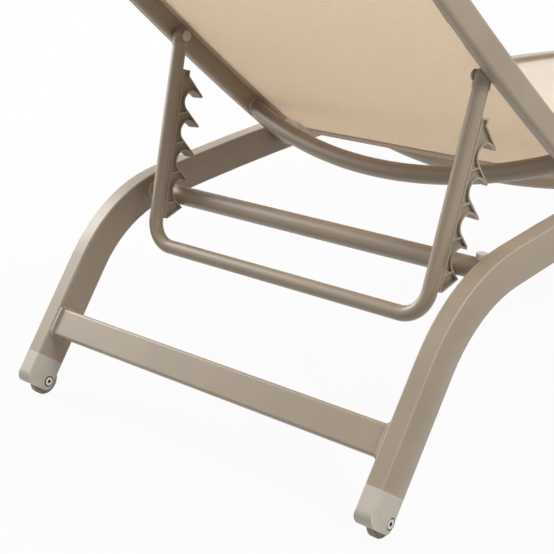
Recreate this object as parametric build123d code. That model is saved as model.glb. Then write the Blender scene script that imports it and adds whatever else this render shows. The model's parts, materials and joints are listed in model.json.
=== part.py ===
from build123d import *
from math import acos, asin, atan2, cos, degrees, radians, sin, sqrt, tan
import os

# Sling sun lounger with a reclining backrest, in millimetres, +Z up, +X from the head
# to the foot. The rest pose is the upright one, with the lowest gullets of the racks at the
# stop rod. The rod stands off its gullet, and the lowest hook is short, so that the propping
# frame can swing out at a steady share of the backrest's turn without striking the rod.
# Everything is drawn in the head leg's own frame and moved at the end, so that the origin
# is the middle of the footprint on the floor.

# Numbers that are counts, angles or shares, not lengths
leg_lean = 34.0
arch_start_slope = 9.4
arch_end_slope = -4.4
recline_at_hinge = 36.35
prop_lean = 15.06
hook_dip_slope = 26.0
low_hook_dip_slope = 10.0
ramp_slope = 36.8
fold_ratio = 2.87
half = 0.5

# Overruns and clearances
overrun = 6.0
seat_clearance = 0.3
pin_fit = 0.05
running_fit = 0.08
side_clearance = 0.6

# Side frames: one bent D section on each side, flat face inwards
clear_width = 591.0
section_flat = 24.5
section_bulge = 3.5
section_depth = 48.0
section_corner = 2.5
section_ridge = 1.6
leg_foot_x = 20.0
leg_foot_z = 53.0
head_leg_run = 152.0
bend_radius = 209.0
arch_radius = 4976.0
foot_leg_run = 212.0

# Leg caps, rollers and foot pads
head_cap_length = 43.0
foot_cap_length = 58.0
cap_big_corner = 15.0
cap_small_corner = 12.0
pad_thickness = 3.0
roller_radius = 20.5
roller_width = 12.5
roller_rim_width = 10.5
tread_thickness = 4.5
hub_web = 5.0
hub_boss_radius = 7.5
hub_rim = 3.0
tread_crown = 1.2
axle_x = 15.1
axle_radius = 4.0
screw_head_radius = 5.9
screw_head_height = 3.0
socket_radius = 2.4
socket_depth = 1.8
ring_radius = 7.8
ring_depth = 2.4
wheel_gap = 2.0

# Crossbars between the legs
crossbar_height = 40.0
crossbar_thickness = 20.0
crossbar_corner = 4.0
crossbar_recess = 4.0
crossbar_along = 52.0
saddle_thickness = 3.0
saddle_lip = 3.0

# Stop rod and the buttons on it that carry the flat backrest
rod_radius = 13.5
button_radius = 7.0
button_height = 8.5
button_dome = 1.0

# Weld beads where round tubes meet flat faces
weld_spread = 2.5
weld_length = 4.0
weld_bite = 1.5

# Seat bows, sling and edge beading
bow_radius = 12.5
seat_bow_dip = 51.0
seat_bow_drop = 4.0
seat_bow_rear_x = 650.0
seat_bow_mid_x = 1020.0
seat_bow_foot_x = 1390.0
sling_thickness = 1.6
sling_depth = 9.0
sling_past_rear_bow = 50.0
sling_past_foot_bow = 47.0
beading_width = 8.5
beading_height = 3.6
groove_depth = 4.2
groove_height = 4.0

# Backrest
hinge_x = 493.9
hinge_z = 310.7
rail_gap = 5.5
rail_width = 18.5
rail_depth = 36.5
rail_corner = 6.0
rail_radius = 5174.0
rail_length = 690.0
back_sling_depth = 7.5
back_sling_tail = 8.0
tail_inset = 28.5
tail_step = 34.0
back_bow_radius = 13.0
back_bow_along = 98.0
back_bow_drop = 8.4
back_bow_reach = 55.8
back_bow_angle = 57.5
plug_length = 10.0
plug_lip = 2.5
top_tube_radius = 11.0
top_tube_from_end = 26.0
top_tube_drop = 5.0

# Hinge bolts between rails and side frames
hinge_bolt_radius = 6.0
hinge_bolt_depth = 14.0
hinge_head_radius = 11.0
hinge_head_height = 3.6
hinge_head_dome = 1.4
bush_radius = 14.0

# Propping frame below the backrest
prop_along = 306.2
prop_drop = 10.9
prop_length = 296.7
prop_tube_radius = 9.9
prop_gap = 11.0
prop_spread = 19.0
prop_corner = 38.0
sleeve_radius = 10.7
sleeve_length = 15.0
sleeve_lip = 0.6
sleeve_lip_height = 2.0
pivot_pin_radius = 4.0
pivot_pin_depth = 10.0
pivot_head_radius = 7.5
pivot_head_height = 3.2
pivot_head_dome = 1.3

# Toothed racks on the propping frame: as many gullets as the arm has room for
low_notch = 77.7
notch_to_pivot = 90.0
notch_pitch = 42.9
gullet_radius = 14.5
gullet_forward = 31.5
hook_reach = 19.0
low_hook_reach = 10.0
hook_round = 1.4
rack_head = 43.6
rack_top_forward = 19.4
rack_tab_step = 8.0
rack_bottom = 36.0
rack_bottom_forward = 13.0
lip_forward = 39.3
rack_base = 6.0
rack_width = 18.0
rack_web = 10.0
rack_rim = 2.4
rack_rib = 2.2
rivet_radius = 2.2
rivet_depth = 5.0
rivet_inset = 6.0
rod_standoff = 10.4

# Places worked out from the sizes above
inner_y = clear_width * half
ridge_y = inner_y + section_flat
outer_y = ridge_y + section_bulge
mid_depth = section_depth * half
rail_outer_half = inner_y - rail_gap
rail_inner_half = rail_outer_half - rail_width
tail_half_width = rail_inner_half - tail_inset
prop_top_half = rail_inner_half - prop_gap
prop_bar_half = prop_top_half - prop_spread
seat_sling_rear_x = seat_bow_rear_x - sling_past_rear_bow
seat_sling_foot_x = seat_bow_foot_x + sling_past_foot_bow
lean = radians(leg_lean)
leg_up = Vector(sin(lean), 0, cos(lean))
leg_front = Vector(cos(lean), 0, -sin(lean))
leg_foot = Vector(leg_foot_x, 0, leg_foot_z)
across = Vector(0, 1, 0)


def slope_way(slope):
    """Direction in the side view that climbs forward at a slope in degrees."""
    return Vector(cos(radians(slope)), 0, sin(radians(slope)))


def run_on(point, slope, length):
    """Point reached by a straight run at a slope."""
    return point + slope_way(slope) * length


def turn_on(point, slope, new_slope, radius):
    """Point reached by an arc that bends downwards from one slope to the next."""
    here = radians(slope)
    there = radians(new_slope)
    return point + Vector(sin(here) - sin(there), 0, cos(there) - cos(here)) * radius


leg_slope = 90.0 - leg_lean
head_bend = run_on(leg_foot, leg_slope, head_leg_run)
arch_start = turn_on(head_bend, leg_slope, arch_start_slope, bend_radius)
arch_end = turn_on(arch_start, arch_start_slope, arch_end_slope, arch_radius)
foot_bend = turn_on(arch_end, arch_end_slope, -leg_slope, bend_radius)
foot_end = run_on(foot_bend, -leg_slope, foot_leg_run)
foot_down = slope_way(-leg_slope)
foot_front = Vector(sin(radians(leg_slope)), 0, cos(radians(leg_slope)))
arch_tilt = radians(arch_start_slope)
arch_centre = arch_start + Vector(sin(arch_tilt), 0, -cos(arch_tilt)) * arch_radius


def arch_point(x, rise=0.0):
    """Point of the seat arch at x, raised from the section's middle line by rise."""
    radius = arch_radius + rise
    return Vector(x, 0, arch_centre.Z + sqrt(radius ** 2 - (x - arch_centre.X) ** 2))


# Backrest arc: its centre lies on the sitter's side
hinge = Vector(hinge_x, 0, hinge_z)
hinge_slope = radians(recline_at_hinge)
rail_centre = hinge + Vector(sin(hinge_slope), 0, cos(hinge_slope)) * rail_radius


def rail_slope(along):
    """Slope of the rail in radians at a length along its arc from the hinge."""
    return hinge_slope + along / rail_radius


def rail_point(along, rise=0.0):
    """Point of a rail's middle line, moved towards the sitter by rise."""
    angle = rail_slope(along)
    return rail_centre - Vector(sin(angle), 0, cos(angle)) * (rail_radius - rise)


def rail_way(along):
    """Direction of the rail from the hinge towards the head."""
    angle = rail_slope(along)
    return Vector(-cos(angle), 0, sin(angle))


# Propping frame: up along its arms, and forward from them
prop_up = Vector(sin(radians(prop_lean)), 0, cos(radians(prop_lean)))
prop_forward = Vector(cos(radians(prop_lean)), 0, -sin(radians(prop_lean)))
prop_pivot = rail_point(prop_along, -prop_drop)
prop_foot = prop_pivot - prop_up * prop_length
splay = atan2(prop_top_half - prop_bar_half, prop_length)
notch_count = 1 + int((prop_length - low_notch - notch_to_pivot) / notch_pitch)
top_notch = low_notch + notch_pitch * (notch_count - 1)
rack_top = top_notch + rack_head
ramp = radians(ramp_slope)
rod_along = low_notch * cos(splay) - rod_standoff * sin(ramp)
rod_forward = gullet_forward + rod_standoff * cos(ramp)
rod_axis = prop_foot + prop_up * rod_along + prop_forward * rod_forward


def d_section():
    """D section: local x is the distance from the middle plane, local y the depth."""
    shape = make_face(
        Polyline((inner_y, mid_depth), (inner_y, -mid_depth), (ridge_y, -mid_depth))
        + ThreePointArc((ridge_y, -mid_depth), (outer_y, 0), (ridge_y, mid_depth))
        + Line((ridge_y, mid_depth), (inner_y, mid_depth))
    )
    shape = fillet(shape.vertices().group_by(Axis.X)[0], section_corner)
    return fillet(shape.vertices().group_by(Axis.X)[-1], section_ridge)


def side_line():
    """Middle line of a side frame in the side view."""
    first = Line(leg_foot, head_bend)
    bend_a = turn_arc(head_bend, leg_slope, arch_start_slope, bend_radius)
    arch = turn_arc(arch_start, arch_start_slope, arch_end_slope, arch_radius)
    bend_b = turn_arc(arch_end, arch_end_slope, -leg_slope, bend_radius)
    last = Line(foot_bend, foot_end)
    return Wire([first.edge(), bend_a.edge(), arch.edge(), bend_b.edge(), last.edge()])


def turn_arc(point, slope, new_slope, radius):
    """Arc drawn by turn_on, through its own middle."""
    middle = turn_on(point, slope, (slope + new_slope) * half, radius)
    return ThreePointArc(point, middle, turn_on(point, slope, new_slope, radius))


def ring_band(centre, inner, outer, start, finish, near, far):
    """Band between two radii about centre in the side view, from y = near to y = far.

    start and finish are directions from the centre, in radians from +X towards +Z.
    """
    middle = (start + finish) * half

    def spot(radius, angle):
        return Vector(centre.X + radius * cos(angle), near, centre.Z + radius * sin(angle))

    outline = Wire([
        ThreePointArc(spot(inner, start), spot(inner, middle), spot(inner, finish)).edge(),
        Line(spot(inner, finish), spot(outer, finish)).edge(),
        ThreePointArc(spot(outer, finish), spot(outer, middle), spot(outer, start)).edge(),
        Line(spot(outer, start), spot(inner, start)).edge(),
    ])
    return extrude(Face(outline), amount=far - near, dir=(0, 1, 0))


def arch_band(rise, height, rear_x, foot_x, near, far):
    """Band along the seat arch, centred rise above the section's middle line."""
    radius = arch_radius + rise
    start = acos((rear_x - arch_centre.X) / radius)
    finish = acos((foot_x - arch_centre.X) / radius)
    inner = radius - height * half
    return ring_band(arch_centre, inner, inner + height, start, finish, near, far)


def rail_band(rise, height, begin, end, near, far):
    """Band along the backrest arc between two lengths from the hinge."""
    radius = rail_radius - rise
    start = radians(270) - rail_slope(begin)
    finish = radians(270) - rail_slope(end)
    inner = radius - height * half
    return ring_band(rail_centre, inner, inner + height, start, finish, near, far)


def rod_between(point, near, far, radius):
    """Round rod along y, from y = near to y = far."""
    base = Plane(origin=(point.X, near, point.Z), z_dir=(0, 1, 0))
    return base * Cylinder(radius, far - near, align=(Align.CENTER, Align.CENTER, Align.MIN))


def with_welds(body, point, face, radius):
    """The tube with a weld bead at each end, where it meets flat faces at y = face and -face."""
    base = Plane(origin=(point.X, face, point.Z), z_dir=(0, -1, 0))
    bead = base * Cone(radius + weld_spread, radius - weld_bite, weld_length,
                       align=(Align.CENTER, Align.CENTER, Align.MIN))
    return body + bead + mirror(bead, about=Plane.XZ)


def both_sides(solid):
    """The solid and its mirror image across the middle plane."""
    return solid, mirror(solid, about=Plane.XZ)


# Sling places in the two frames
seat_rise = mid_depth - sling_depth - sling_thickness * half
back_rise = rail_depth * half - back_sling_depth - sling_thickness * half


def make_side_frame():
    """Left side frame: a D section swept along the legs, bends and seat arch."""
    start = Plane(origin=leg_foot, x_dir=across, z_dir=leg_up)
    body = sweep(start * d_section(), path=side_line())
    groove = arch_band(seat_rise, groove_height, seat_sling_rear_x - overrun,
                       seat_sling_foot_x + overrun, inner_y - overrun, inner_y + groove_depth)
    bolt_hole = rod_between(hinge, inner_y - overrun, inner_y + hinge_bolt_depth,
                            hinge_bolt_radius + pin_fit)
    return body - groove - bolt_hole


def rounded_cap(seam, down, front, length):
    """Leg cap with both lower corners rounded, the one nearest the floor tighter."""
    depth = mid_depth
    end = seam + down * length
    fore = end + front * depth
    rear = end - front * depth
    low, high = (fore, rear) if fore.Z < rear.Z else (rear, fore)
    side = (high - low).normalized()
    outline = [
        seam + (low - end),
        low - down * cap_small_corner,
        low + side * cap_small_corner,
        high - side * cap_big_corner,
        high - down * cap_big_corner,
        seam + (high - end),
    ]
    low_centre = outline[1] + side * cap_small_corner
    high_centre = outline[4] - side * cap_big_corner
    low_mid = low_centre + (low - low_centre).normalized() * cap_small_corner
    high_mid = high_centre + (high - high_centre).normalized() * cap_big_corner
    wire = Wire([
        Line(outline[0], outline[1]).edge(),
        ThreePointArc(outline[1], low_mid, outline[2]).edge(),
        Line(outline[2], outline[3]).edge(),
        ThreePointArc(outline[3], high_mid, outline[4]).edge(),
        Line(outline[4], outline[5]).edge(),
        Line(outline[5], outline[0]).edge(),
    ])
    silhouette = extrude(Face(wire), amount=outer_y + overrun, dir=(0, 1, 0))
    plane = Plane(origin=seam, x_dir=across, z_dir=down)
    bar = extrude(plane * d_section(), amount=length)
    return bar & silhouette


axle = Vector(axle_x, 0, roller_radius)
wheel_y = inner_y + section_flat * half
slot_half = roller_width * half + side_clearance
face_y = outer_y - section_bulge * half
ring_y = face_y - ring_depth


def make_head_cap():
    """Left head cap with the roller's slot, the axle bore and the screw's recesses."""
    cap = rounded_cap(leg_foot, -leg_up, leg_front, head_cap_length)
    slot = rod_between(axle, wheel_y - slot_half, wheel_y + slot_half, roller_radius + wheel_gap)
    bore = rod_between(axle, inner_y - overrun, outer_y + overrun, axle_radius + pin_fit)
    recess_in = rod_between(axle, inner_y - overrun, inner_y + ring_depth, ring_radius + pin_fit)
    recess_out = rod_between(axle, ring_y, outer_y + overrun, ring_radius + pin_fit)
    return cap - slot - bore - recess_in - recess_out


def make_foot_cap():
    """Left foot cap and the rubber pad that is set level below it."""
    block = rounded_cap(foot_end, foot_down, -foot_front, foot_cap_length)
    reach = section_depth + foot_cap_length
    spot = Location((foot_end.X, inner_y, 0))
    upwards = (Align.CENTER, Align.CENTER, Align.MIN)
    slab = spot * Box(reach * 2, reach * 2, pad_thickness, align=upwards)
    below = spot * Box(reach * 2, reach * 2, reach, align=(Align.CENTER, Align.CENTER, Align.MAX))
    return block - slab - below, block & slab


def make_roller():
    """Hub and tread of the left roller."""
    rim = roller_radius - tread_thickness
    web = hub_web * half
    edge = roller_width * half
    run = rim - hub_rim
    profile = Polyline(
        (axle_radius + running_fit, -edge), (hub_boss_radius, -edge), (hub_boss_radius + web, -web),
        (run - web, -web), (run, -roller_rim_width * half), (rim, -roller_rim_width * half),
        (rim, roller_rim_width * half), (run, roller_rim_width * half), (run - web, web),
        (hub_boss_radius + web, web), (hub_boss_radius, edge), (axle_radius + running_fit, edge),
        close=True,
    )
    spin = Plane(origin=(axle.X, wheel_y, axle.Z), x_dir=(1, 0, 0), z_dir=(0, 0, 1))
    hub = revolve(spin * make_face(profile), axis=Axis((axle.X, wheel_y, axle.Z), (0, 1, 0)))
    side = roller_rim_width * half
    shoulder = roller_radius - tread_crown
    crown = side - tread_crown
    ring = Polyline((rim, side), (rim, -side), (shoulder, -side), (roller_radius, -crown),
                    (roller_radius, crown), (shoulder, side), close=True)
    tread = revolve(spin * make_face(ring), axis=Axis((axle.X, wheel_y, axle.Z), (0, 1, 0)))
    return hub, tread


def make_axle():
    """Left axle screw with a socket in each head, and its two recess rings."""
    shaft = rod_between(axle, inner_y + ring_depth, ring_y, axle_radius)
    recess = inner_y + ring_depth
    near = recess - screw_head_height
    head_in = rod_between(axle, near, recess, screw_head_radius)
    head_out = rod_between(axle, ring_y, ring_y + screw_head_height, screw_head_radius)
    key = RegularPolygon(socket_radius, 6)
    plane_in = Plane(origin=(axle.X, near, axle.Z), z_dir=(0, 1, 0))
    plane_out = Plane(origin=(axle.X, ring_y + screw_head_height, axle.Z), z_dir=(0, -1, 0))
    screw = shaft + head_in + head_out
    for plane in (plane_in, plane_out):
        screw = screw - extrude(plane * key, amount=socket_depth)
    seat = rod_between(axle, inner_y - overrun, outer_y + overrun, screw_head_radius + pin_fit)
    ring_in = rod_between(axle, inner_y, recess, ring_radius) - seat
    ring_out = rod_between(axle, ring_y, face_y, ring_radius) - seat
    return screw, [ring_in, ring_out]


def make_crossbar(seam, up, front):
    """Flat bar between two legs, with a welded saddle plate at each end."""
    setback = mid_depth - crossbar_recess - crossbar_thickness * half
    middle = seam + up * crossbar_along - front * setback
    plane = Plane(origin=(middle.X, 0, middle.Z), x_dir=front, z_dir=across)
    bar = RectangleRounded(crossbar_thickness, crossbar_height, crossbar_corner)
    lip = saddle_lip * 2
    saddle = RectangleRounded(crossbar_thickness + lip, crossbar_height + lip,
                              crossbar_corner + saddle_lip)
    body = extrude(plane * bar, amount=inner_y, both=True)
    for way in (1, -1):
        end = plane.offset(way * (inner_y - saddle_thickness))
        body = body + extrude(end * saddle, amount=way * saddle_thickness)
    return body


rest_y = rail_outer_half - button_radius


def make_stop_rod():
    """Stop rod, welded to both side frames, with a flat seat below each button."""
    body = rod_between(rod_axis, -inner_y, inner_y, rod_radius)
    body = with_welds(body, rod_axis, inner_y, rod_radius)
    for way in (1, -1):
        foot = Plane(origin=(rod_axis.X, way * rest_y, rod_axis.Z + rod_radius - button_dome))
        body = body - foot * Cylinder(button_radius + pin_fit, overrun,
                                      align=(Align.CENTER, Align.CENTER, Align.MIN))
    return body


button_top = rod_axis.Z + rod_radius - button_dome + button_height


def make_buttons():
    """Domed rest buttons that stand on the stop rod below the backrest rails."""
    pair = []
    for way in (1, -1):
        base = rod_axis.Z + rod_radius - button_dome
        spot = Plane(origin=(rod_axis.X, way * rest_y, base))
        knob = spot * Cylinder(button_radius, button_height,
                               align=(Align.CENTER, Align.CENTER, Align.MIN))
        rim = knob.edges().sort_by(Axis.Z)[-1]
        pair.append(fillet(rim, button_dome))
    return pair


def bow_tube(end, drop_way, dip, half_span, radius):
    """Cross tube bowed by dip along drop_way, between the inner faces of two rails."""
    low = end + drop_way * dip
    path = ThreePointArc(end - across * half_span, low, end + across * half_span)
    section = Plane(origin=path @ 0, z_dir=path % 0) * Circle(radius)
    reach = half_span + radius
    curve = sweep(section, path=Wire([path.edge()]))
    stub = bow_stub(path, radius)
    body = curve + stub + mirror(stub, about=Plane.XZ)
    keep = Location((end.X, 0, end.Z)) * Box(reach * 2, half_span * 2, reach * 2)
    return body & keep


def bow_stub(path, radius):
    """Short straight end that carries a bowed tube to the rail's flat face."""
    return extrude(Plane(origin=path @ 0, z_dir=path % 0) * Circle(radius), amount=-radius)


def make_seat_bow(x):
    """Bow below the seat sling, welded to both side frames."""
    end = arch_point(x) - Vector(0, 0, seat_bow_drop)
    down = Vector(0, 0, -1)
    body = bow_tube(end, down, seat_bow_dip, inner_y, bow_radius)
    return with_welds(body, end, inner_y, bow_radius)


def make_seat_sling():
    """Seat sling between the two edge beadings."""
    width = inner_y + groove_depth - seat_clearance - beading_width
    return arch_band(seat_rise, sling_thickness, seat_sling_rear_x, seat_sling_foot_x,
                     -width, width)


def make_seat_beading():
    """Left edge beading of the seat sling, held in the side frame's groove."""
    far = inner_y + groove_depth - seat_clearance
    return arch_band(seat_rise, beading_height, seat_sling_rear_x, seat_sling_foot_x,
                     far - beading_width, far)


def rail_section():
    """Backrest rail section: local x across, local y towards the sitter."""
    middle = rail_inner_half + rail_width * half
    return Location((middle, 0)) * RectangleRounded(rail_width, rail_depth, rail_corner)


def make_rail():
    """Left backrest rail: swept along its arc, with a round end about the hinge."""
    start = Plane(origin=hinge, x_dir=across, z_dir=rail_way(0))
    line = ThreePointArc(hinge, rail_point(rail_length * half), rail_point(rail_length))
    body = sweep(start * rail_section(), path=Wire([line.edge()]))
    middle = rail_inner_half + rail_width * half
    upper = Location((middle, rail_depth)) * Rectangle(rail_width * 2, rail_depth * 2)
    half_section = rail_section() & upper
    nose = revolve(start * half_section, axis=Axis(hinge, (0, 1, 0)), revolution_arc=180)
    way = (nose.center() - hinge).dot(rail_way(0))
    if way > 0:
        nose = mirror(nose, about=Plane(origin=hinge, z_dir=rail_way(0)))
    rail = body + nose
    groove = rail_band(back_rise, groove_height, tail_step - overrun, rail_length + overrun,
                       rail_inner_half - overrun, rail_inner_half + groove_depth)
    bore = rod_between(hinge, rail_inner_half - overrun, rail_outer_half + overrun,
                       hinge_bolt_radius + running_fit)
    pin = rod_between(prop_pivot, rail_inner_half - overrun, rail_inner_half + pivot_pin_depth,
                      pivot_pin_radius + pin_fit)
    return rail - groove - bore - pin


def make_plug():
    """Left rail end plug: a rounded cover as deep as the rail, with a thin lip."""
    end = rail_point(rail_length)
    plane = Plane(origin=end, x_dir=across, z_dir=rail_way(rail_length))
    cover = extrude(plane * rail_section(), amount=plug_length)
    rim = cover.faces().sort_by(Axis(end, rail_way(rail_length)))[-1].edges()
    return fillet(rim, plug_lip)


def make_hinge():
    """Left hinge bolt with a domed head, and the bush between rail and side frame."""
    seat = rail_inner_half - running_fit
    shaft = rod_between(hinge, seat, inner_y + hinge_bolt_depth, hinge_bolt_radius)
    head = rod_between(hinge, seat - hinge_head_height, seat, hinge_head_radius)
    head = chamfer(head.edges().sort_by(Axis.Y)[0], hinge_head_dome)
    bush = rod_between(hinge, rail_outer_half + running_fit, inner_y, bush_radius)
    bush = bush - rod_between(hinge, rail_outer_half - overrun, inner_y + overrun,
                              hinge_bolt_radius + pin_fit)
    return shaft + head, bush


def make_back_bow():
    """Bow below the backrest sling, near the hinge."""
    end = rail_point(back_bow_along, -back_bow_drop)
    slope = radians(back_bow_angle)
    drop = Vector(-cos(slope), 0, -sin(slope))
    body = bow_tube(end, drop, back_bow_reach, rail_inner_half, back_bow_radius)
    return with_welds(body, end, rail_inner_half, back_bow_radius)


def make_top_tube():
    """Straight cross tube near the head end, below the sling's top hem."""
    spot = rail_point(rail_length - top_tube_from_end, -top_tube_drop)
    body = rod_between(spot, -rail_inner_half, rail_inner_half, top_tube_radius)
    return with_welds(body, spot, rail_inner_half, top_tube_radius)


back_far = rail_inner_half + groove_depth - seat_clearance
back_edge = back_far - beading_width


def make_back_sling():
    """Backrest sling: full width between the beadings, narrower below the hinge step."""
    top = rail_length - plug_lip
    main = rail_band(back_rise, sling_thickness, tail_step, top, -back_edge, back_edge)
    tail = rail_band(back_rise, sling_thickness, -back_sling_tail, tail_step,
                     -tail_half_width, tail_half_width)
    return main + tail


def make_back_beading():
    """Left edge beading of the backrest sling, held in the rail's groove."""
    return rail_band(back_rise, beading_height, tail_step, rail_length - plug_lip,
                     back_edge, back_far)


prop_plane = Plane(origin=prop_foot, x_dir=across, z_dir=prop_forward)


def make_prop_frame():
    """U shaped propping tube: two splayed arms and the bottom bar."""
    path = FilletPolyline(
        (prop_top_half, prop_length), (prop_bar_half, 0),
        (-prop_bar_half, 0), (-prop_top_half, prop_length),
        radius=prop_corner,
    )
    wire = prop_plane * Wire(path.edges())
    start = Plane(origin=wire @ 0, z_dir=wire % 0)
    tube = sweep(start * Circle(prop_tube_radius), path=wire)
    for way in (1, -1):
        pivot = Vector(prop_pivot.X, way * prop_top_half, prop_pivot.Z)
        near = pivot - across * (sleeve_radius * 2)
        tube = tube - rod_between(near, near.Y, near.Y + sleeve_radius * 4,
                                  pivot_pin_radius + running_fit)
        for rivet in rivet_places():
            front = rivet_plane(rivet, way).offset(prop_tube_radius - rivet_depth)
            hole = front * Cylinder(rivet_radius + pin_fit, rivet_depth + overrun,
                                    align=(Align.CENTER, Align.CENTER, Align.MIN))
            tube = tube - hole
    return tube


def arm_plane(way):
    """Plane of one rack: local x forward, local y up along the arm, from the bar's corner."""
    arm = across * (way * sin(splay)) + prop_up * cos(splay)
    origin = prop_foot + across * (way * prop_bar_half)
    return Plane(origin=origin, x_dir=prop_forward, z_dir=prop_forward.cross(arm))


def rivet_places():
    """Distances up the arm of the rack's two rivets."""
    return (rack_bottom + rivet_inset, rack_top - rack_tab_step * half)


def rivet_plane(along, way):
    """Plane square to the arm's front at a rivet, with its origin on the arm's axis."""
    place = arm_plane(way)
    return Plane(origin=place.from_local_coords((0, along, 0)), z_dir=prop_forward)


def make_sleeve():
    """Left end cap of a propping arm: a domed sleeve over the tube's end."""
    arm = across * sin(splay) + prop_up * cos(splay)
    pivot = Vector(prop_pivot.X, prop_top_half, prop_pivot.Z)
    low = Plane(origin=pivot - arm * sleeve_length, z_dir=arm)
    profile = Cylinder(sleeve_radius, sleeve_length, align=(Align.CENTER, Align.CENTER, Align.MIN))
    lip = Cylinder(sleeve_radius + sleeve_lip, sleeve_lip_height,
                   align=(Align.CENTER, Align.CENTER, Align.MIN))
    body = low * profile + low * lip + Location(pivot) * Sphere(sleeve_radius)
    tube = low.offset(-overrun) * Cylinder(prop_tube_radius + pin_fit, sleeve_length + overrun,
                                           align=(Align.CENTER, Align.CENTER, Align.MIN))
    reach = sleeve_radius * 2
    bore = rod_between(pivot, prop_top_half - reach, prop_top_half + reach,
                       pivot_pin_radius + running_fit)
    return body - tube - bore


def make_pivot_pin():
    """Left pivot pin: round head inside the arm, shaft through it into the rail."""
    tilt_room = pivot_head_radius * tan(splay) + running_fit
    inside = prop_top_half - sleeve_radius / cos(splay) - tilt_room
    shaft = rod_between(prop_pivot, inside, rail_inner_half + pivot_pin_depth, pivot_pin_radius)
    head = rod_between(prop_pivot, inside - pivot_head_height, inside, pivot_head_radius)
    head = chamfer(head.edges().sort_by(Axis.Y)[0], pivot_head_dome)
    return shaft + head


def gullet_point(centre, angle):
    """Point of a gullet's round, at an angle in radians from forward towards up."""
    return Vector(gullet_forward + gullet_radius * cos(angle), centre + gullet_radius * sin(angle))


def rack_outline():
    """Closed outline of a rack: local x forward, local y up along the arm."""
    low_angle = radians(270) - ramp
    edges = []
    pen = Vector(rack_base, rack_top)

    def line_to(point):
        nonlocal pen
        edges.append(Line(pen, point).edge())
        pen = point

    line_to(Vector(rack_top_forward, rack_top))
    line_to(Vector(rack_top_forward, rack_top - rack_tab_step))
    for number in range(notch_count):
        centre = top_notch - notch_pitch * number
        lowest = number == notch_count - 1
        dip = radians(low_hook_dip_slope if lowest else hook_dip_slope)
        top_angle = radians(90) - dip
        front = gullet_forward + (low_hook_reach if lowest else hook_reach)
        above = gullet_point(centre + notch_pitch, low_angle)
        back_end = above + Vector(1, -tan(ramp)) * (front - above.X)
        under = gullet_point(centre, top_angle)
        tip = under + Vector(1, -tan(dip)) * (front - under.X)
        line_to(back_end)
        line_to(tip)
        line_to(under)
        low = gullet_point(centre, low_angle)
        middle = gullet_point(centre, (top_angle + low_angle) * half)
        edges.append(ThreePointArc(pen, middle, low).edge())
        pen = low
    lip = pen + Vector(1, -tan(ramp)) * (lip_forward - pen.X)
    line_to(lip)
    line_to(Vector(rack_bottom_forward, rack_bottom))
    line_to(Vector(rack_base, rack_bottom))
    line_to(Vector(rack_base, rack_top))
    return Face(Wire(edges))


def rib_bars():
    """Thin ribs, one behind each gullet, across the rack's whole width."""
    bars = []
    for number in range(notch_count):
        centre = top_notch - notch_pitch * number
        start = Vector(rack_base, centre - notch_pitch * half)
        bar = Rectangle(gullet_forward + hook_reach, rack_rib, align=(Align.MIN, Align.CENTER))
        bars.append(Location((start.X, start.Y), ramp_slope * half) * bar)
    return bars


def make_rack(way):
    """Rack of one arm: a web inside a rim that follows the hooks, ribs and a saddle."""
    place = arm_plane(way)
    sharp = rack_outline()
    core = offset(sharp, amount=-rack_rim, kind=Kind.INTERSECTION)
    tips = [corner for corner in sharp.vertices() if corner.X > lip_forward + hook_round]
    outline = fillet(tips, hook_round)
    rim = outline - core
    for bar in rib_bars():
        rim = rim + (bar & outline)
    body = extrude(place * rim, amount=rack_width * half, both=True)
    body = body + extrude(place * outline, amount=rack_web * half, both=True)
    arm = Plane(origin=place.origin, z_dir=place.y_dir)
    tube = arm * Cylinder(prop_tube_radius, rack_top + overrun,
                          align=(Align.CENTER, Align.CENTER, Align.MIN))
    body = body - tube
    for along in rivet_places():
        hole = rivet_plane(along, way) * Cylinder(rivet_radius + pin_fit, gullet_forward,
                                                  align=(Align.CENTER, Align.CENTER, Align.MIN))
        body = body - hole
    return body


def make_rivets():
    """Rivets that hold both racks to the arms."""
    made = []
    for way in (1, -1):
        for along in rivet_places():
            front = rack_top_forward if along > top_notch else rack_bottom_forward
            base = prop_tube_radius - rivet_depth
            plane = rivet_plane(along, way).offset(base)
            made.append(plane * Cylinder(rivet_radius, front - base,
                                         align=(Align.CENTER, Align.CENTER, Align.MIN)))
    return made


def flat_turn():
    """Degrees by which the backrest turns down until its rails lie on the rest buttons."""
    rest = Vector(rod_axis.X, 0, button_top + seat_clearance)
    arm = rest - hinge
    centre = rail_centre - hinge
    reach = arm.length
    span = centre.length
    radius = rail_radius + rail_depth * half
    inner = acos((reach ** 2 + span ** 2 - radius ** 2) / (2 * reach * span))
    arm_angle = atan2(arm.Z, arm.X)
    centre_angle = atan2(centre.Z, centre.X)
    return degrees(arm_angle - inner - centre_angle) % 360


parts = {}
left_side = make_side_frame()
parts["side_frame_left"], parts["side_frame_right"] = both_sides(left_side)
parts["head_cap_left"], parts["head_cap_right"] = both_sides(make_head_cap())
foot_cap, foot_pad = make_foot_cap()
parts["foot_cap_left"], parts["foot_cap_right"] = both_sides(foot_cap)
parts["foot_pad_left"], parts["foot_pad_right"] = both_sides(foot_pad)
roller_hub, roller_tread = make_roller()
parts["roller_hub_left"], parts["roller_hub_right"] = both_sides(roller_hub)
parts["roller_tread_left"], parts["roller_tread_right"] = both_sides(roller_tread)
axle_screw, axle_rings = make_axle()
parts["axle_screws"] = Compound(list(both_sides(axle_screw)))
parts["axle_rings"] = Compound([ring for pair in axle_rings for ring in both_sides(pair)])
parts["head_crossbar"] = make_crossbar(leg_foot, leg_up, leg_front)
parts["foot_crossbar"] = make_crossbar(foot_end, -foot_down, -foot_front)
parts["stop_rod"] = make_stop_rod()
parts["rest_buttons"] = Compound(make_buttons())
parts["seat_bow_rear"] = make_seat_bow(seat_bow_rear_x)
parts["seat_bow_mid"] = make_seat_bow(seat_bow_mid_x)
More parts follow.
